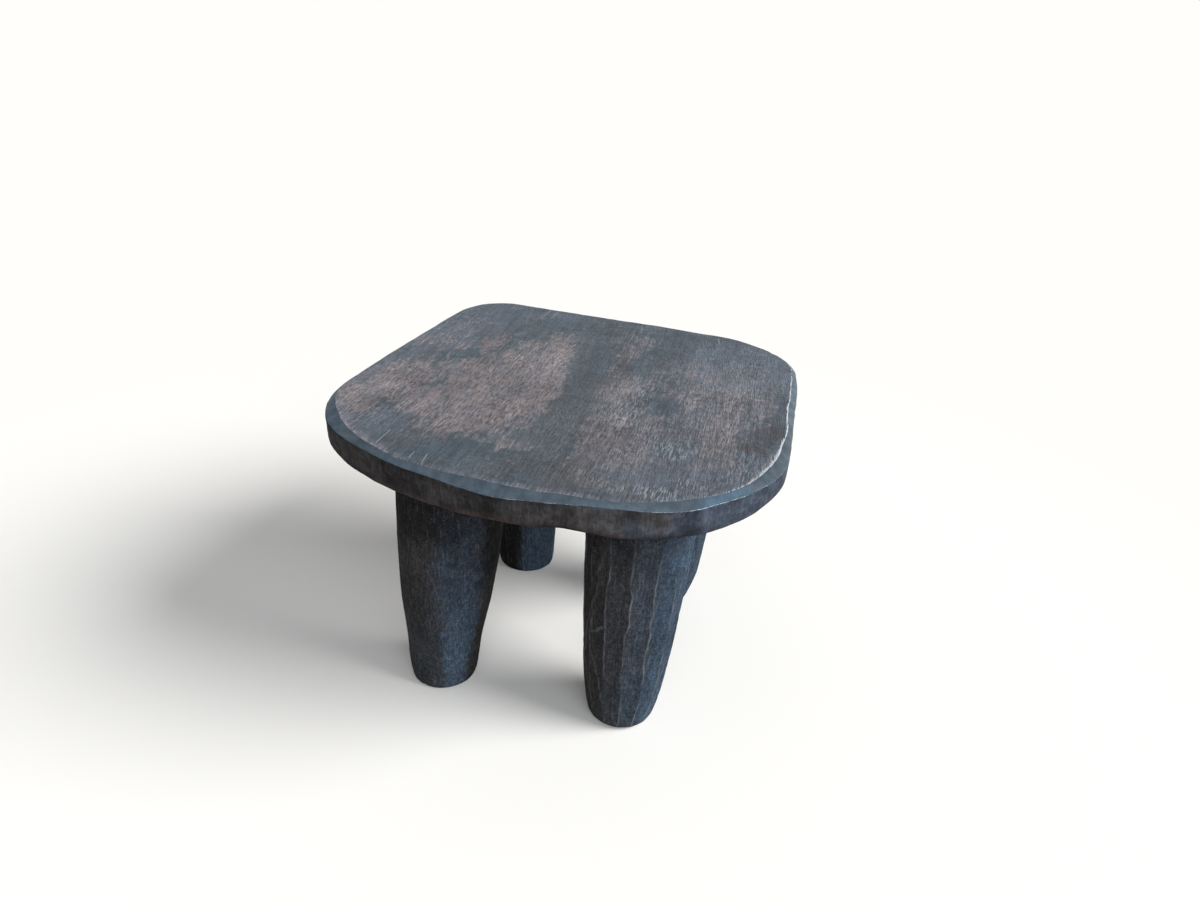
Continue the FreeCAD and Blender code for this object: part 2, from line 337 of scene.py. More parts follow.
FLUTE_COLUMNS = (0, 0.025, 0.06, 0.12, 0.2, 0.3, 0.4, 0.5, 0.6, 0.7, 0.8, 0.88, 0.94, 0.975)
NO_BOW = {0: 0}

# How softly a stained or sooty area ends, in degrees and in shares of the height, how even it is,
# and over how much of the height, in how many steps, swell and bow are smoothed
AREA_EDGE_TURN = 12
AREA_EDGE_RISE = 0.11
AREA_MEAN = 0.86
SMOOTHED_RISE = 0.045
RISE_STEPS = 7

# Pale lines along the ridges and crossings: how wide, how pale, at least or on average, and where in
# a noise they show. How far a crossing fills its flute, and how far up and down
RIDGE_LINE = 0.0006
RIDGE_MEAN = 0.65
RIDGE_SHOWN = (-0.75, 0.15)
CROSSING_LINE = 0.0009
CROSSING_PALE = 0.85
CROSSING_LEAST = 0.4
CROSSING_FILL = 0.5
CROSSING_REACH = 0.004

# Shares of the height where the cuts run out below the seat and above the floor, how much of them is
# lost there or left, and where the pale ridges run out
CUT_TOP = (0.72, 0.93)
CUT_LOST = 0.85
CUT_FOOT = (0, 0.16)
CUT_LEFT = 0.25
WEAR_TOP = (0.7, 0.88)

# Noises on a leg are read off an even post, and ridges off lines this far apart
POST_RADIUS = 0.04
RIDGE_APART = 0.5


# Noise and measures for the carved shapes

def lattice(cells, seed):
    """A repeatable value from 0 to 1 for each whole-numbered cell."""
    mixed = (cells * (73856093, 19349663, 83492791)).sum(-1) + seed * 2654435
    mixed = (mixed ^ (mixed >> 13)) * 1274126177 & 0xFFFFFFFF
    mixed = (mixed ^ (mixed >> 15)) * 461845907 & 0xFFFFFFFF
    return ((mixed >> 8) & 0xFFFF) / 65535


def noise(points, size, seed):
    """Smooth noise from -1 to 1 with bumps about one size across, or one for each axis."""
    scaled = np.asarray(points) / size
    base = np.floor(scaled).astype(np.int64)
    part = scaled - base
    part = part * part * (3 - 2 * part)
    total = 0
    for corner in itertools.product((0, 1), repeat=3):
        share = np.where(np.array(corner) == 1, part, 1 - part).prod(-1)
        total = total + share * lattice(base + corner, seed)
    return total * 2 - 1


def uneven(points, kind, seed=0):
    """One kind of unevenness at some points."""
    return sum(reach * noise(points, size, seed + step) for reach, size, step in UNEVEN[kind])


def adze_cuts(across, along, cut):
    """Height left by overlapping scoops in a face, and a tone for the scoop at each place."""
    width, length, depth, proud, seed = cut
    scaled = np.stack([across / width, along / length, np.zeros_like(across)], -1)
    base = np.floor(scaled).astype(np.int64)
    lowest = np.full(across.shape, np.inf)
    tone = np.zeros(across.shape)
    for step in itertools.product((-1, 0, 1), repeat=2):
        cell = base + (*step, 0)
        reach = 0
        for axis, (start, spread) in enumerate(CUT_MIDDLE):
            middle = cell[..., axis] + start + spread * lattice(cell, seed + axis)
            reach = reach + (scaled[..., axis] - middle) ** 2
        reach = reach + CUT_UNEVEN * lattice(cell, seed + 2)
        tone = np.where(reach < lowest, lattice(cell, seed + 3), tone)
        lowest = np.minimum(lowest, reach)
    return depth * (np.clip(lowest, 0, 1) - 1) + depth * proud, tone


def smooth_step(value, low, high):
    share = np.clip((value - low) / (high - low), 0, 1)
    return share * share * (3 - 2 * share)


def bell(value):
    """1 at 0, fading out on both sides."""
    return np.exp(-(value ** 2))


def compass(xy):
    """Compass angles of plan points, in degrees."""
    return np.degrees(np.arctan2(xy[:, 1], xy[:, 0]))


def at_height(xy, z):
    """Plan points at one height, or each at its own."""
    return np.column_stack([xy, np.broadcast_to(z, len(xy))])


# Mesh helpers

def quads(grid, closed):
    """Faces of a sheet of vertex numbers, row by row; closed joins the last column to the first."""
    after = np.roll(grid, -1, axis=1) if closed else grid[:, 1:]
    here = grid if closed else grid[:, :-1]
    faces = np.stack([here[:-1], after[:-1], after[1:], here[1:]], -1)
    return faces.reshape(-1, 4).tolist()


def fan(ring, middle, upward):
    """Faces that close a ring of vertex numbers onto a middle vertex."""
    after = np.roll(ring, -1)
    first, second = (ring, after) if upward else (after, ring)
    return [(int(a), int(b), middle) for a, b in zip(first, second)]


def add_object(name, data):
    made = bpy.data.objects.new(name, data)
    bpy.context.scene.collection.objects.link(made)
    return made


def paint(piece, *materials):
    piece.data.materials.clear()
    for material in materials:
        piece.data.materials.append(material)


def make_piece(name, points, faces, attributes):
    """A smooth-shaded mesh object with one float attribute for each named list of values."""
    mesh = bpy.data.meshes.new(name)
    mesh.from_pydata(np.asarray(points).tolist(), [], faces)
    for key, values in attributes.items():
        layer = mesh.attributes.new(key, "FLOAT", "POINT")
        layer.data.foreach_set("value", np.asarray(values, np.float32))
    mesh.polygons.foreach_set("use_smooth", np.ones(len(mesh.polygons), bool))
    mesh.update()
    return add_object(name, mesh)


def prism(name, outline, shift):
    """A closed prism: an outline of points, and the same outline moved by a vector."""
    count = len(outline)
    numbers = np.arange(2 * count).reshape(2, count)
    faces = quads(numbers, True) + [numbers[0, ::-1].tolist(), numbers[1].tolist()]
    return make_piece(name, np.vstack([outline, np.add(outline, shift)]), faces, {})


def cut_away(piece, cutters):
    """Takes the cutters out of a piece for good."""
    for cutter in cutters:
        modifier = piece.modifiers.new(cutter.name, "BOOLEAN")
        modifier.operation = "DIFFERENCE"
        modifier.solver = "MANIFOLD"
        modifier.object = cutter
    view = bpy.context.evaluated_depsgraph_get()
    mesh = bpy.data.meshes.new_from_object(piece.evaluated_get(view))
    piece.modifiers.clear()
    piece.data = mesh
    for cutter in cutters:
        bpy.data.objects.remove(cutter)


# Places read from the frame

seat_low, seat_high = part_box("seat")
seat_underside = seat_low.z
seat_top = seat_high.z


def leg_places(name):
    """Middle of a leg's foot and of its top, from its foot mount and from the wedge over it."""
    mounts = {mount["name"]: mount for mount in frame["record"]["mounts"]}
    foot = Vector(mounts["foot_" + name]["pos_m"])
    wedge_low, wedge_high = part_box("wedge_" + name)
    top = (wedge_low + wedge_high) / 2
    top.z = seat_underside
    return foot, top


# Seat

def circular_smooth(values, spacing, reach):
    """Averages a closed row of values, one column apart by spacing, over about a reach."""
    offsets = np.arange(-SMOOTHING_COLUMNS, SMOOTHING_COLUMNS + 1)
    weights = np.exp(-0.5 * (offsets * spacing / reach) ** 2)
    weights /= weights.sum()
    return sum(w * np.roll(values, k, axis=0) for w, k in zip(weights, offsets))


def seat_outline():
    """Evenly spread points round the seat's plan, from the front left corner, seen from above."""
    corners = [vertex.co.xy for vertex in frame["nodes"]["seat"].data.vertices]
    hull = np.array([corners[i] for i in geometry.convex_hull_2d(corners)])
    first = CORNER_ANGLES[0]
    hull = hull[np.argsort((compass(hull) - first) % 360)]
    closed = np.vstack([hull, hull[:1]])
    length = np.append(0, np.cumsum(np.linalg.norm(np.diff(closed, axis=0), axis=1)))
    turn = (compass(closed) - first) % 360
    turn[-1] = turn[0] + 360
    marks = [np.interp((angle - first) % 360, turn, length) for angle in CORNER_ANGLES]
    marks.append(marks[0] + length[-1])
    stops = [np.linspace(a, b, SIDE_COLUMNS, endpoint=False) for a, b in zip(marks, marks[1:])]
    stops = np.concatenate(stops) % length[-1]
    outline = np.stack([np.interp(stops, length, closed[:, k]) for k in (0, 1)], -1)
    return circular_smooth(outline, length[-1] / len(outline), OUTLINE_SMOOTHING)


class SeatEdge:
    """The seat's plan and the hand-cut sizes and finish of its edge, column by column."""

    def __init__(self):
        plan = seat_outline()
        along = np.roll(plan, -1, axis=0) - np.roll(plan, 1, axis=0)
        self.spacing = np.linalg.norm(along, axis=1).mean() / 2
        along /= np.linalg.norm(along, axis=1)[:, None]
        self.inward = np.stack([-along[:, 1], along[:, 0]], -1)
        self.angle = compass(plan)
        for name, stations in EDGE_FINISH.items():
            setattr(self, name, self.read(stations))
        for name, stations in EDGE_SIZES.items():
            setattr(self, name, self.read(stations) * MM)
        flat = at_height(plan, 0)
        self.plan = plan + self.inward * (uneven(flat, "plan") - self.shift)[:, None]
        self.bevel *= 1 + uneven(flat, "bevel")
        self.drop *= 1 + uneven(flat, "drop")
        self.depth += uneven(flat, "depth")

    def read(self, stations):
        columns = np.interp(self.angle, list(stations), list(stations.values()), period=360)
        return circular_smooth(columns, self.spacing, STATION_SMOOTHING)

    def ring(self, inset, z):
        """Points drawn in from the plan by an inset, at a height; both may vary by column."""
        drawn_in = np.broadcast_to(inset, len(self.plan))[:, None]
        return at_height(self.plan + self.inward * drawn_in, z)


def edge_rings(edge):
    """Rings from the underside, round the rim and over the bevel to the top.

    Each has its points, its zone and how far inside the crest it lies.
    """
    rings = []
    low = seat_top - edge.depth
    high = seat_top - edge.drop
    foot = low + LOWER_ROUNDING

    def add(inset, z, zone, inside=0):
        rings.append((edge.ring(inset, z), zone, inside))

    for share in UNDER_SHARES:
        lip = LIP_WIDTH + (RIM_UNDERCUT + LOWER_ROUNDING - LIP_WIDTH) * share
        add(lip, seat_underside + (low - seat_underside) * share ** 2, "under")
    for turn in np.radians(LOWER_TURNS):
        drawn_in = LOWER_ROUNDING * (1 - math.sin(turn))
        add(RIM_UNDERCUT + drawn_in, low + LOWER_ROUNDING * (1 - math.cos(turn)), "lower")
    for share in np.linspace(0, 1, RIM_ROWS):
        bulge = RIM_UNDERCUT * (1 - share) ** UNDERCUT_POWER
        add(bulge, foot + (high - EDGE_ROUNDING - foot) * share, "rim")
    inwards, down = OUTER_SHARES
    add(EDGE_ROUNDING * inwards, high - EDGE_ROUNDING * down, "outer")
    for share in BEVEL_SHARES:
        add(edge.bevel * share, high + edge.drop * share, "bevel")
    add(edge.bevel * CREST_SHARE, seat_top - CREST_ROUNDING, "crest")
    for step in CREST_STEPS:
        add(edge.bevel + step, seat_top, "top", step)
    return rings


def sides(ring):
    """A ring of columns as its front, right, back and left side, each from its left or front end."""
    n = SIDE_COLUMNS
    steps = np.arange(n + 1)
    return ring[steps], ring[n + steps], ring[3 * n - steps], ring[(4 * n - steps) % (4 * n)]


def patch_numbers(ring, first_new):
    """Square sheet of vertex numbers whose border is a ring of columns, seen from above."""
    n = SIDE_COLUMNS
    sheet = np.empty((n + 1, n + 1), np.int64)
    sheet[1:-1, 1:-1] = first_new + np.arange((n - 1) * (n - 1)).reshape(n - 1, n - 1)
    sheet[:, 0], sheet[n], sheet[:, n], sheet[0] = sides(ring)
    return sheet


def patch_points(ring):
    """Plan points inside a closed ring, spread between its four sides and then evened out."""
    front, right, back, left = sides(ring)
    share = np.linspace(0, 1, SIDE_COLUMNS + 1)
    u = share[:, None, None]
    v = share[None, :, None]
    between = (1 - v) * front[:, None] + v * back[:, None] + (1 - u) * left[None] + u * right[None]
    ends = (1 - u) * ((1 - v) * front[0] + v * back[0]) + u * ((1 - v) * front[-1] + v * back[-1])
    sheet = between - ends
    for step in range(SHEET_PASSES):
        beside = sheet[:-2, 1:-1] + sheet[2:, 1:-1] + sheet[1:-1, :-2] + sheet[1:-1, 2:]
        sheet[1:-1, 1:-1] = beside / 4
    return sheet[1:-1, 1:-1].reshape(-1, 2)


def share_out(edge, xy):
    """How far points lie from the middle towards the crest of the seat, from 0 to 1."""
    reach = np.linalg.norm(edge.plan + edge.inward * edge.bevel[:, None], axis=1)
    return np.linalg.norm(xy, axis=1) / np.interp(compass(xy), edge.angle, reach, period=360)


def along_grain(xy):
    """Plan points as distances across and along the grain."""
    cos, sin = math.cos(GRAIN_TURN), math.sin(GRAIN_TURN)
    return xy[:, 0] * cos + xy[:, 1] * sin, xy[:, 1] * cos - xy[:, 0] * sin


def top_surface(edge, xy):
    """Height of the dished, adzed top, and the tone of the scoop at each place."""
    share = share_out(edge, xy)
    flat = at_height(xy, 0)
    inside = smooth_step(1 - share, *SCOOP_FADE)
    dish = DISH_DEPTH * np.clip(1 - share ** 2, 0, 1)
    across, along = along_grain(xy)
    cuts, tone = adze_cuts(across + uneven(flat, "grain"), along, TOP_CUT)
    return seat_top - dish + inside * (cuts + uneven(flat, "tool")), tone


def under_height(xy):
    """Height of the roughly adzed underside, left flat where a leg stands against it."""
    cuts = adze_cuts(*along_grain(xy), UNDER_CUT)[0]
    for name in LEG_CARVING:
        top = leg_places(name)[1]
        gap = np.hypot(xy[:, 0] - top.x, xy[:, 1] - top.y) - LEG_TOP_RADIUS
        cuts = cuts * smooth_step(gap, *LEG_FADE)
    return seat_underside + cuts


def roughen_edge(edge, points, zones):
    """Uneven tool work on the rim and the bevel, and small nicks along the crest.

    Gives the tone of the rim's cut at each place.
    """
    faces_out = -at_height(edge.inward, 0)
    round_rim = np.arange(len(edge.plan)) * edge.spacing
    cuts, tone = np.stack([adze_cuts(round_rim, ring[:, 2], RIM_CUT) for ring in points], 1)
    relief = cuts + uneven(points, "rim")
    chatter = uneven(points, "chatter")
    for index, zone in enumerate(zones):
        if zone in ("lower", "rim", "outer"):
            points[index] += faces_out * relief[index][:, None]
        if zone in ("bevel", "crest"):
            points[index, :, 2] += chatter[index]
        if zone == "crest":
            nicks = smooth_step(uneven(points[index], "nicks"), *NICK_FADE)
            points[index, :, 2] -= NICK_DEPTH * nicks * (NICK_LEAST + edge.crest_wear)
    return tone


def edge_wear(edge, rings):
    """Finish of each ring: pale wear, partly a painted highlight, grey lip, reddish-brown wear, and the
    edge's painted light and shade.
    """
    wear, lip, rust = np.zeros((3, len(rings), len(edge.plan)))
    light = np.ones(wear.shape)
    height = edge.depth - edge.drop
    for index, (ring, zone, inside) in enumerate(rings):
        patchy = PATCHY_MEAN + uneven(ring, "patchy")
        level = ring[:, 2] - seat_top
        share = (level + edge.depth) / height
        if zone in ("crest", "top"):
            # The crest's pale line: rubbed wear, partly a painted highlight
            wear[index] = edge.crest_wear * bell(inside / edge.crest_spread)
            past = inside / edge.lip_reach + uneven(ring, "lip")
            lip[index] = edge.lip_wear * (1 - smooth_step(past, *LIP_FADE))
        if zone == "outer":
            # The outer edge's pale line: rubbed wear, partly a painted highlight
            wear[index] = edge.outer_wear * (0.5 + 0.5 * patchy)
        if zone in ("lower", "rim"):
            near = np.clip(RUST_STRONGEST - share * height / RUST_HEIGHT, 0, 1)
            rust[index] = edge.lower_wear * patchy * near
            # Painted light and shade on the rim: by facet, a lighter lower half, a darker lower edge
            # and painted shade under the bevel
            lower = edge.lower_light * bell((share - LIGHTEST_SHARE) / LIGHTEST_REACH)
            lowest = edge.lower_dark * bell(share / LOWER_EDGE_REACH)
            upper = UNDER_BEVEL_PAINTED_SHADE * bell((share - 1) / UNDER_BEVEL_REACH)
            light[index] = edge.rim_light * (1 + lower) * ((1 - lowest) * (1 - upper))
        if zone in ("outer", "bevel"):
            # Painted light on the bevel: by facet, and lighter towards its outer edge
            light[index] = edge.bevel_light * (1 - BEVEL_FALL * (level / edge.drop + 0.5))
    wear, rust = np.clip((wear, rust), 0, 1)
    return {"wear": wear, "lip": lip, "rust": rust, "light": light}


def make_seat():
    edge = SeatEdge()
    rings = edge_rings(edge)
    columns = len(edge.plan)
    points = np.stack([ring for ring, zone, inside in rings])
    zones = [zone for ring, zone, inside in rings]
    finish = edge_wear(edge, rings)
    tone = roughen_edge(edge, points, zones)
    for index in np.flatnonzero(np.array(zones) == "top"):
        points[index, :, 2], tone[index] = top_surface(edge, points[index, :, :2])

    count = len(rings) * columns
    numbers = np.arange(count).reshape(len(rings), columns)
    under = patch_points(points[0, :, :2])
    under = at_height(under, under_height(under))
    upper = patch_points(points[-1, :, :2])
    upper_height, upper_tone = top_surface(edge, upper)
    upper = at_height(upper, upper_height)
    under_faces = quads(patch_numbers(numbers[0], count), False)
    upper_faces = quads(patch_numbers(numbers[-1], count + len(under)).T, False)
    plain = np.zeros(len(under) + len(upper))
    finish = {key: np.append(sheet, plain + (key == "light")) for key, sheet in finish.items()}
    finish["scoop"] = np.concatenate([tone.ravel(), np.full(len(under), 0.5), upper_tone])
    corners = np.vstack([points.reshape(-1, 3), under, upper])
    seat = make_piece("seat_carved", corners, quads(numbers, True) + under_faces + upper_faces, finish)
    slots = np.repeat([ZONE_FINISH[zone] for zone in zones[:-1]], columns).tolist()
    slots += [RIM_FINISH] * len(under_faces) + [TOP_FINISH] * len(upper_faces)
    paint(seat, rim_wood(), bevel_wood(), top_wood())
    seat.data.polygons.foreach_set("material_index", slots)
    return seat


# Legs

def ridge_lines(carving, rows):
    """Compass angle of each ridge in radians, and how far it is rubbed pale, at every row."""
    seed = carving["seed"]
    paths = []
    rubbed = []
    for index, angle in enumerate(carving["ridges"]):
        walk = np.column_stack([rows, np.full(len(rows), index * RIDGE_APART), np.zeros(len(rows))])
        paths.append(np.radians(angle + uneven(walk, "ridge_degrees", seed)))
        shown = smooth_step(uneven(walk, "ridge_stretches", seed), *RIDGE_SHOWN)
        rubbed.append(shown * (RIDGE_MEAN + uneven(walk, "ridge_rubbed", seed)))
    return np.array(paths), np.array(rubbed)


def by_height(values, rise):
    """Millimetres given at some shares of the height, in metres and smoothed in between."""
    steps = np.linspace(-SMOOTHED_RISE, SMOOTHED_RISE, RISE_STEPS)
    total = sum(np.interp(rise + step, list(values), list(values.values())) for step in steps)
    return total / RISE_STEPS * MM


def leg_shape(carving, rows):
    """Radius, compass angle and pale wear for every row and column of a leg's shaft."""
    height = rows[-1]
    rise = rows / height
    radius = LEG_FOOT_RADIUS + (LEG_TOP_RADIUS - LEG_FOOT_RADIUS) * rise ** LEG_SWELL_POWER
    radius += by_height(carving["swell"], rise)
    ridge, rubbed = ridge_lines(carving, rows)
    following = np.roll(ridge, -1, axis=0)
    following[-1] += 2 * math.pi
    width = (following - ridge)[:, None, :]
    u = np.array(FLUTE_COLUMNS)[None, :, None]
    angle = ridge[:, None, :] + u * width

    flat = np.cos(width / 2) / np.cos((u - 0.5) * width)
    depth = (1 - flat) * radius + carving["hollow"] * (1 - (2 * u - 1) ** 2)
    wear = bell(u * width * radius / RIDGE_LINE) * rubbed[:, None, :]
    wear += bell((1 - u) * width * radius / RIDGE_LINE) * np.roll(rubbed, -1, axis=0)[:, None, :]
    for flute, share, slant in carving.get("crossings", ()):
        across = width[flute] * radius
        gap = rows - share * height - slant * (u[0] - 0.5)
        gap = gap * across / np.hypot(across, slant)
        gap = gap + uneven(np.stack([rows] * 3, -1), "crossing", carving["seed"] + flute)
        depth[flute] *= 1 - CROSSING_FILL * bell(gap / CROSSING_REACH)
        shown = CROSSING_LEAST + (1 - CROSSING_LEAST) * rubbed[flute]
        line = CROSSING_PALE * bell(gap / CROSSING_LINE) * shown
        wear[flute] = np.maximum(wear[flute], line)
    strength = carving["cut"] * (1 - CUT_LOST * smooth_step(rise, *CUT_TOP))
    strength = strength * (CUT_LEFT + (1 - CUT_LEFT) * smooth_step(rise, *CUT_FOOT))
    raised = radius * (1 + 0.5 * (1 - np.cos(width / 2)) * strength)
    wear = wear * carving["wear"] * (1 - smooth_step(rise, *WEAR_TOP))
    return [sheet.reshape(-1, len(rows)).T for sheet in (raised - depth * strength, angle, wear)]


def leg_areas(areas, angle, rise, places, seed):
    """How far each place on a leg lies in any of some areas with soft, uneven edges, from 0 to 1."""
    wander = uneven(places, "area", seed)
    turn = np.degrees(angle) + AREA_EDGE_TURN * wander
    level = rise + AREA_EDGE_RISE * (wander + uneven(places, "area_rise", seed))
    total = np.zeros(angle.shape)
    for start, end, low, high, share in areas:
        middle = (start + end) / 2
        aside = np.abs((turn - middle + 180) % 360 - 180) - (end - start) / 2
        inside = 1 - smooth_step(aside, -AREA_EDGE_TURN, AREA_EDGE_TURN)
        inside *= smooth_step(level, low - AREA_EDGE_RISE, low + AREA_EDGE_RISE)
        inside *= 1 - smooth_step(level, high - AREA_EDGE_RISE, high + AREA_EDGE_RISE)
        total = np.maximum(total, share * inside)
    return total * (AREA_MEAN + uneven(places, "area_share", seed))


def leg_surface(carving, foot, top):
    """Points of a leg's shaft by row and column, which way its columns face, and its finish."""
    seed = carving["seed"]
    rounding = carving["foot"]
    foot_rows = rounding * (1 - np.cos(FOOT_TURNS))
    rows = np.append(foot_rows, np.linspace(rounding * SHAFT_START, top.z, LEG_ROWS))
    rise = (rows / top.z)[:, None]
    shaft, angle, wear = leg_shape(carving, rows)
    shaft[:len(FOOT_TURNS)] -= (rounding * (1 - np.sin(FOOT_TURNS)))[:, None]
    around = np.stack([np.cos(angle), np.sin(angle), np.zeros_like(angle)], -1)
    heights = np.zeros_like(around)
    heights[..., 2] = rows[:, None]
    places = around * POST_RADIUS + heights
    shaft += uneven(places, "chips", seed) * smooth_step(rows, 0, rounding * CHIPS_START)[:, None]
    middle = np.array(foot) + rise[..., None] * np.array(top - foot)
    middle[..., 0] += by_height(carving.get("bow", NO_BOW), rise)
    middle[..., 2] = 0
    finish = {"wear": np.clip(wear, 0, 1)}
    for key, step in AREA_SEEDS.items():
        finish[key] = leg_areas(carving.get(key, ()), angle, rise, places, seed + step)
    return middle + around * shaft[..., None] + heights, around[-1], finish


def make_leg(name):
    foot, top = leg_places(name)
    points, around, finish = leg_surface(LEG_CARVING[name], foot, top)
    columns = len(around)
    tenon_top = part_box("leg_" + name)[1].z
    tenon = [np.array(top) + around * TENON_RADIUS + (0, 0, z) for z in (0, tenon_top - top.z)]
    ends = [np.array(foot), np.array((top.x, top.y, tenon_top))]
    numbers = np.arange((len(points) + len(tenon)) * columns).reshape(-1, columns)
    faces = quads(numbers, True) + fan(numbers[0], numbers.size, False)
    faces += fan(numbers[-1], numbers.size + 1, True)
    hidden = np.zeros(len(tenon) * columns + len(ends))
    finish = {key: np.append(sheet, hidden) for key, sheet in finish.items()}
    points = np.vstack([points.reshape(-1, 3), *tenon, *ends])
    return make_piece("leg_" + name + "_carved", points, faces, finish)


def mortise_cutter(name):
    """Round hole for a leg's tenon, from below the seat up to the wedge's head."""
    top = leg_places(name)[1]
    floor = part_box("wedge_" + name)[1].z
    start = seat_underside - MORTISE_OVERRUN
    turns = np.radians(np.arange(0, 360, MORTISE_STEP))
    reach = TENON_RADIUS + TENON_CLEARANCE
    outline = [(top.x + reach * math.cos(t), top.y + reach * math.sin(t), start) for t in turns]
    return prism("mortise_" + name, outline, (0, 0, floor - start))


def kerf_cutter(name):
    """Tapered slot across a tenon, as the wedge in it needs."""
    low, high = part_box("wedge_" + name)
    middle = (low.y + high.y) / 2
    reach = TENON_RADIUS + KERF_OVERRUN
    start = (low.x + high.x) / 2 - reach
    profile = [(high.y, high.z), (low.y, high.z)]
    profile += [(middle - KERF_TIP / 2, low.z), (middle + KERF_TIP / 2, low.z)]
    return prism("kerf_" + name, [(start, y, z) for y, z in profile], (2 * reach, 0, 0))


# Materials

class Nodes:
    """A node tree, with short calls for the nodes that the woods and the studio share."""

    def __init__(self, tree):
        self.tree = tree

    def put(self, socket, value):
        if isinstance(value, bpy.types.NodeSocket):
            self.tree.links.new(value, socket)
        elif socket.type == "RGBA":
            socket.default_value = (*value[:3], 1)
        else:
            socket.default_value = value

    def add(self, kind, inputs, **settings):
        made = self.tree.nodes.new("ShaderNode" + kind)
        for key, value in settings.items():
            setattr(made, key, value)
        for key, value in inputs.items():
            self.put(made.inputs[key], value)
        return made

    def ramp(self, value, low, high, start=0, end=1):
        """Smooth step: start below low, end above high."""
        inputs = {"Value": value, "From Min": low, "From Max": high, "To Min": start, "To Max": end}
        return self.add("MapRange", inputs, interpolation_type="SMOOTHSTEP").outputs[0]

    def math(self, operation, first, second=0, clamp=False):
        return self.add("Math", {0: first, 1: second}, operation=operation, use_clamp=clamp).outputs[0]

    def plus(self, first, *others):
        for other in others:
            first = self.math("ADD", first, other)
        return first

    def minus(self, first, second):
        return self.math("SUBTRACT", first, second)

    def times(self, first, second):
        return self.math("MULTIPLY", first, second)

    def largest(self, first, *others):
        for other in others:
            first = self.math("MAXIMUM", first, other)
        return first

    def vector(self, operation, first, second=(0, 0, 0), output="Vector"):
        return self.add("VectorMath", {0: first, 1: second}, operation=operation).outputs[output]

    def length(self, vector):
        return self.vector("LENGTH", vector, output="Value")

    def dot(self, first, second):
        return self.vector("DOT_PRODUCT", first, second, "Value")

    def scaled(self, vector, share):
        return self.add("VectorMath", {0: vector, "Scale": share}, operation="SCALE").outputs[0]

    def axis(self, vector, name):
        return self.add("SeparateXYZ", {0: vector}).outputs[name]

    def mix(self, share, first, second, blend="MIX"):
        inputs = {0: share, 6: first, 7: second}
        return self.add("Mix", inputs, data_type="RGBA", blend_type=blend).outputs[2]

    def seen_directly(self):
        """1 for rays that show the background itself: to the camera, or in gloss or glass."""
        path = self.add("LightPath", {}).outputs
        rays = ("Is Camera Ray", "Is Glossy Ray", "Is Transmission Ray")
        return self.largest(*[path[ray] for ray in rays])


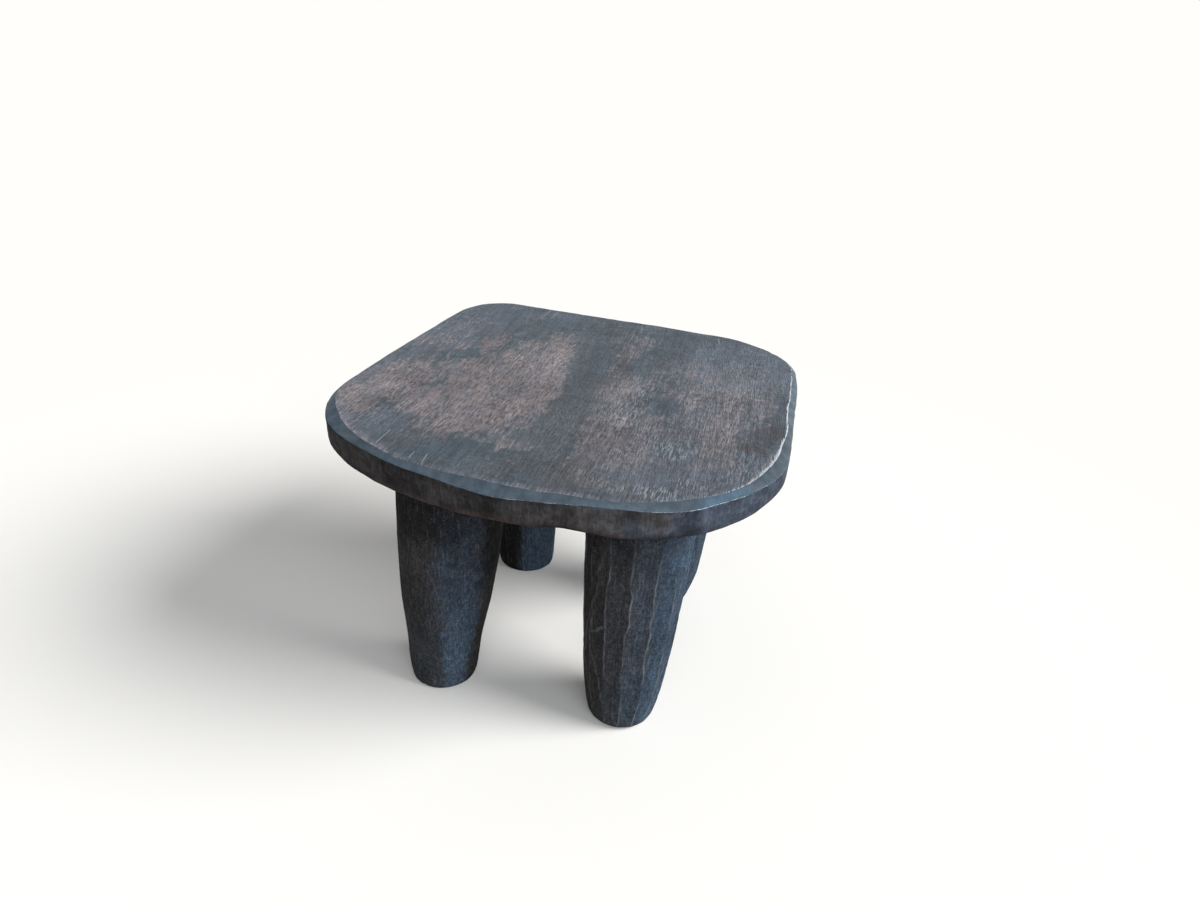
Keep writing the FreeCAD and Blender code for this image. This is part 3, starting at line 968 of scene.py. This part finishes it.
class Shader(Nodes):
    """One node material for a wood or a paint."""

    def __init__(self, name):
        self.material = bpy.data.materials.new(name)
        self.material.use_nodes = True
        super().__init__(self.material.node_tree)
        self.surface = self.tree.nodes["Principled BSDF"]
        self.place = self.add("TexCoord", {}).outputs["Object"]

    def turned(self, angle):
        """Object coordinates turned about the upright axis."""
        return self.add("Mapping", {"Vector": self.place, "Rotation": (0, 0, angle)}).outputs[0]

    def noise(self, where, size, detail=2, roughness=0.55):
        """Noise from 0 to 1 with bumps of a size in metres, or of one for each axis."""
        sizes = size if isinstance(size, tuple) else (size,) * 3
        scaled = self.vector("MULTIPLY", where, [1 / part for part in sizes])
        inputs = {"Vector": scaled, "Scale": 1, "Detail": detail, "Roughness": roughness}
        return self.add("TexNoise", inputs).outputs["Fac"]

    def swing(self, value, reach):
        """Noise from 0 to 1 as a swing about 0."""
        return self.times(self.minus(value, 0.5), reach)

    def relief(self, *layers):
        """Noises one on top of the other, each times a share."""
        return self.plus(*[self.times(value, share) for value, share in layers])

    def attribute(self, name):
        return self.add("Attribute", {}, attribute_name=name).outputs["Fac"]

    def pushed(self, where, size, reach):
        """Places pushed about in plan by a noise of a size, each way by up to half a reach."""
        inputs = {"Vector": where, "Scale": 1 / size, "Detail": 3}
        push = self.vector("SUBTRACT", self.add("TexNoise", inputs).outputs["Color"], (0.5, 0.5, 0.5))
        return self.vector("ADD", where, self.vector("MULTIPLY", push, (reach, reach, 0)))

    def patches(self, where, ovals, wander, soft):
        """Ovals seen from above, whose edges wander by a noise and fade over a soft width.

        The strongest counts.
        """
        found = []
        for x, y, width, depth, share in ovals:
            away = self.vector("SUBTRACT", where, (x * MM, y * MM, 0))
            away = self.vector("MULTIPLY", away, (1 / (width * MM), 1 / (depth * MM), 0))
            gap = self.times(self.minus(self.length(away), 1), min(width, depth) * MM)
            found.append(self.ramp(self.plus(gap, wander), -soft, soft, share, 0))
        return self.largest(*found)

    def shaded(self, colour, *layers):
        """A colour made darker or lighter by noises: times low where one is 0.3, high at 0.7."""
        for value, low, high in layers:
            colour = self.scaled(colour, self.ramp(value, 0.3, 0.7, low, high))
        return colour

    def scratches(self, lines, z):
        """Thin lines at a height between pairs of places."""
        found = []
        for start_x, start_y, end_x, end_y in lines:
            first = Vector((start_x * MM, start_y * MM, z))
            run = Vector((end_x * MM, end_y * MM, z)) - first
            away = self.vector("SUBTRACT", self.place, first)
            share = self.math("ADD", self.dot(away, run / run.length_squared), 0, clamp=True)
            gap = self.vector("SUBTRACT", away, self.scaled(run, share))
            gap = self.length(self.vector("MULTIPLY", gap, (1, 1, 0)))
            found.append(self.ramp(gap, SCRATCH_WIDTH * 0.3, SCRATCH_WIDTH, 1, 0))
        return self.largest(*found)

    def rubbed(self, fray, reach):
        """Where the mesh's wear attribute shows, broken up by a noise: rubbed wear, and on the seat's
        crest and outer edge partly a painted highlight.
        """
        return self.ramp(self.plus(self.attribute("wear"), self.swing(fray, reach)), 0.42, 0.7)

    def finish(self, colour, roughness, bump, bump_height, specular, tint):
        inputs = self.surface.inputs
        raised = self.add("Bump", {"Height": bump, "Distance": bump_height, "Strength": 1})
        self.put(inputs["Base Color"], colour)
        self.put(inputs["Roughness"], roughness)
        self.put(inputs["Specular IOR Level"], specular)
        self.put(inputs["Specular Tint"], tint)
        self.put(inputs["Normal"], raised.outputs[0])
        return self.material


# Pale of rubbed wear and of painted highlights along the seat's edges
PALE_WEAR_AND_HIGHLIGHT = (0.56, 0.62, 0.68)


def top_marks(s, colour, bent, mottle, streak, stroke, dash):
    """The top's colour with short pale cuts, scratches, a grey lip and a crest rubbed pale and partly
    painted with a highlight.
    """
    cuts = s.patches(bent, CUT_PATCHES, s.swing(mottle, 0.02), 0.006)
    cuts = s.times(cuts, s.ramp(dash, 0.53, 0.62, 0, 0.7))
    colour = s.mix(cuts, colour, (0.3, 0.32, 0.34))
    lines = s.times(s.scratches(SCRATCHES, seat_top), 0.5)
    colour = s.mix(lines, colour, (0.4, 0.42, 0.45))
    lip = s.times(s.attribute("lip"), s.ramp(streak, 0.38, 0.6, 0.25, 1))
    colour = s.mix(lip, colour, s.shaded((0.15, 0.152, 0.176), (stroke, 0.7, 1.3)))
    # The crest: rubbed wear, partly a painted highlight
    pale = s.mix(s.ramp(s.attribute("wear"), 0.45, 0.9), (0.225, 0.22, 0.235), PALE_WEAR_AND_HIGHLIGHT)
    return s.mix(s.rubbed(stroke, 1.9), colour, pale)


def top_wood():
    """The sitting surface: blue-black stain, rubbed through to mauve brown along the grain."""
    s = Shader("seat_top")
    grain = s.turned(-GRAIN_TURN)
    bent = s.pushed(s.pushed(s.place, 0.03, 0.034), 0.008, 0.01)
    cloud = s.noise(grain, (0.03, 0.04, 0.2), 3)
    mottle = s.noise(bent, (0.007, 0.011, 0.2), 4, 0.6)
    streak = s.noise(grain, (0.0024, 0.045, 0.2), 2, 0.6)
    tint = s.noise(grain, (0.012, 0.02, 0.2), 3)
    stroke = s.noise(grain, (0.001, 0.0066, 0.2), 2, 0.6)
    across = s.noise(bent, (0.016, 0.0026, 0.2))
    dash = s.noise(grain, (0.0012, 0.009, 0.2), 1)
    grit = s.noise(s.place, 0.0011)

    wander = s.swing(mottle, 0.04)
    rough = s.plus(s.swing(mottle, 1.5), s.swing(streak, 0.9), s.swing(stroke, 0.7))
    worn = s.plus(s.patches(bent, WORN_PATCHES, 0, 0.018), rough)
    dark = s.patches(bent, DARK_PATCHES, s.swing(mottle, 0.025), 0.006)
    worn = s.ramp(s.minus(worn, dark), 0.2, 0.95)
    stained = s.mix(s.ramp(cloud, 0.35, 0.65), (0.06, 0.079, 0.099), (0.077, 0.089, 0.105))
    for ovals, tone in ((DULL_PATCHES, (0.088, 0.09, 0.097)), (PALE_PATCHES, (0.104, 0.124, 0.155))):
        stained = s.mix(s.patches(bent, ovals, wander, 0.016), stained, tone)
    stained = s.mix(s.times(dark, 0.8), stained, (0.056, 0.073, 0.09))
    bared = s.mix(s.ramp(tint, 0.36, 0.62), (0.118, 0.116, 0.131), (0.17, 0.143, 0.148))
    side = s.ramp(s.axis(s.place, "X"), 0, 0.08, 0, 0.5)
    bared = s.mix(side, bared, (0.132, 0.131, 0.145))
    colour = s.mix(worn, stained, bared)
    palest = s.patches(bent, PALEST_PATCHES, wander, 0.016)
    palest = s.times(palest, s.ramp(worn, 0, 1, 0.2, 0.5))
    colour = s.mix(palest, colour, (0.26, 0.235, 0.245))
    brown = s.patches(bent, BROWN_PATCHES, s.swing(mottle, 0.02), 0.004)
    colour = s.mix(brown, colour, (0.058, 0.05, 0.054))
    deep = s.times(s.ramp(worn, 0, 1, 0.28, 0.5), s.ramp(cloud, 0.36, 0.64, 0.6, 1.3))
    strokes = (stroke, s.minus(1, deep), s.plus(1, deep))
    scoops = (s.attribute("scoop"), 0.9, 1.09)
    colour = s.shaded(colour, scoops, (streak, 0.84, 1.15), (across, 0.84, 1.12), strokes)
    colour = top_marks(s, colour, bent, mottle, streak, stroke, dash)
    colour = s.mix(s.ramp(grit, 0.76, 0.8, 0, 0.6), colour, (0.45, 0.45, 0.45))

    roughness = s.ramp(mottle, 0.25, 0.75, 0.66, 0.54)
    height = s.relief((stroke, 0.55), (dash, 0.25), (across, 0.35), (grit, 0.1))
    return s.finish(colour, roughness, height, 0.0012, 0.2, (0.78, 0.89, 1))


def bevel_wood():
    """The smooth knife-cut bevel round the top, still blue-black, with a painted blue sheen at its
    front corners and painted light and shade by facet.
    """
    s = Shader("seat_bevel")
    mottle = s.noise(s.place, 0.012, 4, 0.65)
    fray = s.noise(s.place, (0.0016, 0.004, 0.003))
    grit = s.noise(s.place, 0.0011)
    colour = s.mix(s.ramp(mottle, 0.32, 0.68), (0.048, 0.068, 0.087), (0.082, 0.109, 0.136))
    colour = s.mix(s.ramp(fray, 0.6, 0.75, 0, 0.3), colour, (0.1, 0.125, 0.145))
    # Painted blue sheen at the bevel's front corners
    painted_sheen = s.vector("MULTIPLY", colour, (0.78, 1.05, 1.25))
    colour = s.mix(s.patches(s.place, BEVEL_SHEEN_PATCHES, s.swing(mottle, 0.01), 0.006), colour, painted_sheen)
    # Painted light and shade from the mesh's light attribute
    colour = s.scaled(colour, s.attribute("light"))
    # The outer edge: rubbed wear, partly a painted highlight
    colour = s.mix(s.rubbed(fray, 0.8), colour, PALE_WEAR_AND_HIGHLIGHT)
    roughness = s.ramp(mottle, 0.25, 0.75, 0.6, 0.46)
    return s.finish(colour, roughness, grit, 0.0002, 0.2, (0.75, 0.88, 1))


def rim_wood():
    """The rim and underside: dull black with upright tool marks, with a painted blue sheen on the right
    and painted shade on the left.
    """
    s = Shader("seat_rim")
    cloud = s.noise(s.place, 0.03, 3)
    blotch = s.noise(s.place, (0.01, 0.01, 0.008), 4, 0.65)
    upright = s.noise(s.place, (0.005, 0.005, 0.05), 3)
    fibre = s.noise(s.place, (0.0014, 0.0014, 0.006))
    grit = s.noise(s.place, 0.001)
    across = s.axis(s.place, "X")
    # Painted blue sheen on the right of the rim
    painted_sheen = s.ramp(s.plus(across, s.swing(cloud, 0.22)), 0.06, 0.17)
    black = s.mix(s.ramp(blotch, 0.38, 0.62), (0.03, 0.028, 0.027), (0.052, 0.049, 0.05))
    # Painted shade: darker on the left
    black = s.scaled(black, s.ramp(across, -0.14, 0.02, 0.66, 1))
    sheen_colour = s.mix(s.ramp(blotch, 0.38, 0.62), (0.038, 0.046, 0.062), (0.064, 0.078, 0.102))
    colour = s.mix(painted_sheen, black, sheen_colour)
    scoops = (s.attribute("scoop"), 0.92, 1.06)
    colour = s.shaded(colour, scoops, (upright, 0.86, 1.12), (fibre, 0.84, 1.16))
    # Painted light and shade from the mesh's light attribute
    colour = s.scaled(colour, s.attribute("light"))
    rust = s.times(s.attribute("rust"), s.ramp(fibre, 0.35, 0.6, 0.4, 1))
    colour = s.mix(rust, colour, (0.094, 0.06, 0.053))
    colour = s.mix(s.ramp(grit, 0.72, 0.8, 0, 0.4), colour, (0.3, 0.27, 0.22))
    roughness = s.ramp(cloud, 0.25, 0.75, 0.76, 0.64)
    height = s.relief((upright, 0.4), (fibre, 0.4), (blotch, 0.6))
    return s.finish(colour, roughness, height, 0.0006, 0.02, (0.85, 0.92, 1))


def leg_wood():
    """Blackened upright fibres, dull and finely stippled, greyer along the ridges, with painted sheen,
    shade and highlights.
    """
    s = Shader("leg_wood")
    cloud = s.noise(s.place, (0.03, 0.03, 0.06), 3)
    fibre = s.noise(s.place, (0.0014, 0.0014, 0.018))
    grit = s.noise(s.place, (0.0012, 0.0012, 0.0016), 2, 0.6)
    pebble = s.noise(s.place, (0.0034, 0.0034, 0.0046), 2, 0.6)
    fleck = s.noise(s.place, 0.0009, 1)
    black = s.mix(s.ramp(cloud, 0.3, 0.7), (0.034, 0.033, 0.032), (0.046, 0.044, 0.044))
    blue = s.mix(s.ramp(cloud, 0.3, 0.7), (0.033, 0.051, 0.075), (0.05, 0.073, 0.104))
    rise = s.axis(s.place, "Z")
    # Painted light: the blue is lighter near the foot
    blue = s.scaled(blue, s.ramp(rise, 0.03, 0.11, 1.25, 1))
    # Blue where the stain areas lie: partly a bluish stain, partly a painted blue sheen on sides that
    # face the light
    colour = s.mix(s.attribute("stain"), black, blue)
    # Painted shade under the seat and on sides turned from the light, partly a darker finish
    colour = s.mix(s.attribute("shade_and_soot"), colour, (0.01, 0.01, 0.011))
    # Painted highlight where the pale areas lie
    colour = s.scaled(colour, s.plus(s.attribute("pale"), 1))
    colour = s.shaded(colour, (grit, 0.6, 1.4), (pebble, 0.76, 1.24), (fibre, 0.8, 1.2))
    colour = s.mix(s.ramp(fibre, 0.64, 0.76, 0, 0.4), colour, (0.12, 0.125, 0.135))
    rubbed = s.times(s.attribute("wear"), s.ramp(fibre, 0.25, 0.55, 0.4, 1))
    colour = s.mix(rubbed, colour, (0.168, 0.172, 0.182))
    colour = s.mix(s.ramp(fleck, 0.77, 0.8, 0, 0.7), colour, (0.5, 0.52, 0.55))
    roughness = s.ramp(cloud, 0.25, 0.75, 0.78, 0.66)
    height = s.relief((fibre, 0.3), (grit, 0.4), (pebble, 0.8))
    return s.finish(colour, roughness, height, 0.0006, 0.015, (0.8, 0.9, 1))


def wedge_wood():
    """Bare split hardwood with a fine grain along the wedge."""
    s = Shader("wedge_wood")
    grain = s.noise(s.place, (0.0012, 0.0012, 0.02), 3)
    shade = s.noise(s.place, (0.01, 0.01, 0.03))
    light = s.mix(s.ramp(shade, 0.3, 0.7), (0.38, 0.25, 0.14), (0.48, 0.33, 0.19))
    colour = s.mix(s.ramp(grain, 0.45, 0.7), light, (0.27, 0.16, 0.08))
    roughness = s.ramp(grain, 0.3, 0.7, 0.7, 0.85)
    return s.finish(colour, roughness, grain, 0.0002, 0.3, (1, 1, 1))


# Studio

def make_world():
    """Fill light that is brighter from one side and from above, behind a plain white backdrop."""
    world = bpy.data.worlds.new("studio")
    world.use_nodes = True
    bpy.context.scene.world = world
    n = Nodes(world.node_tree)
    direction = n.add("TexCoord", {}).outputs["Generated"]
    facing = n.ramp(n.dot(direction, FILL_DIRECTION), *FILL_EDGE)
    above = n.ramp(n.axis(direction, "Z"), *SKY_EDGE)
    light = n.mix(facing, FILL_DIM, FILL_BRIGHT)
    light = n.mix(above, light, SKY_LIGHT, "ADD")
    light = n.add("Background", {"Color": light, "Strength": 1})
    shown = n.add("Background", {"Color": BACKDROP, "Strength": 1})
    inputs = {0: n.seen_directly(), 1: light.outputs[0], 2: shown.outputs[0]}
    choice = n.add("MixShader", inputs)
    n.put(n.tree.nodes["World Output"].inputs["Surface"], choice.outputs[0])


def floor_paint():
    """Pale paint that keeps the shadow near the stool and runs into the backdrop far from it.

    It throws less light back onto the stool than it shows.
    """
    s = Shader("floor_paint")
    far = s.ramp(s.length(s.place), *FLOOR_FADE, FLOOR_GLOW, 1)
    s.tree.nodes.remove(s.surface)
    seen = s.seen_directly()
    matt = s.add("BsdfDiffuse", {"Color": s.mix(seen, FLOOR_BOUNCE, FLOOR_COLOUR)})
    shown = s.add("Emission", {"Color": BACKDROP, "Strength": 1})
    choice = s.add("MixShader", {0: s.times(far, seen), 1: matt.outputs[0], 2: shown.outputs[0]})
    s.put(s.tree.nodes["Material Output"].inputs["Surface"], choice.outputs[0])
    return s.material


def make_floor():
    half = FLOOR_SIZE / 2
    corners = [(-half, -half, 0), (half, -half, 0), (half, half, 0), (-half, half, 0)]
    floor = make_piece("floor", corners, [(0, 1, 2, 3)], {})
    paint(floor, floor_paint())


def make_key_light():
    lamp = bpy.data.lights.new("key", "SUN")
    lamp.energy = KEY_STRENGTH
    lamp.angle = KEY_SPREAD
    add_object("key", lamp).rotation_euler = KEY_DIRECTION.to_track_quat("Z", "Y").to_euler()


def make_camera():
    azimuth, tilt, roll = np.radians((CAMERA_AZIMUTH, 90 - CAMERA_ELEVATION, CAMERA_ROLL))
    turned = Matrix.Rotation(azimuth, 3, "Z") @ Matrix.Rotation(tilt, 3, "X")
    turned = turned @ Matrix.Rotation(roll, 3, "Z")
    data = bpy.data.cameras.new("camera")
    data.sensor_width = SENSOR_WIDTH
    data.lens = FOCAL_LENGTH_PIXELS * SENSOR_WIDTH / IMAGE_WIDTH
    camera = add_object("camera", data)
    place = CAMERA_TARGET + turned.col[2] * CAMERA_DISTANCE
    camera.matrix_world = Matrix.Translation(place) @ turned.to_4x4()
    bpy.context.scene.camera = camera


# The stool

def stand_for(piece, node):
    """Lets a finished piece stand for a CAD node and ride on the stool's one body."""
    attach(piece, "root")
    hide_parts(node)


def build_stool():
    seat = make_seat()
    cut_away(seat, [mortise_cutter(name) for name in LEG_CARVING])
    stand_for(seat, "seat")
    leg_finish = leg_wood()
    wedge_finish = wedge_wood()
    for name in LEG_CARVING:
        leg = make_leg(name)
        cut_away(leg, [kerf_cutter(name)])
        paint(leg, leg_finish)
        stand_for(leg, "leg_" + name)
        paint(frame["nodes"]["wedge_" + name], wedge_finish)


build_stool()
make_world()
make_floor()
make_key_light()
make_camera()
bpy.context.scene.view_settings.view_transform = "Standard"
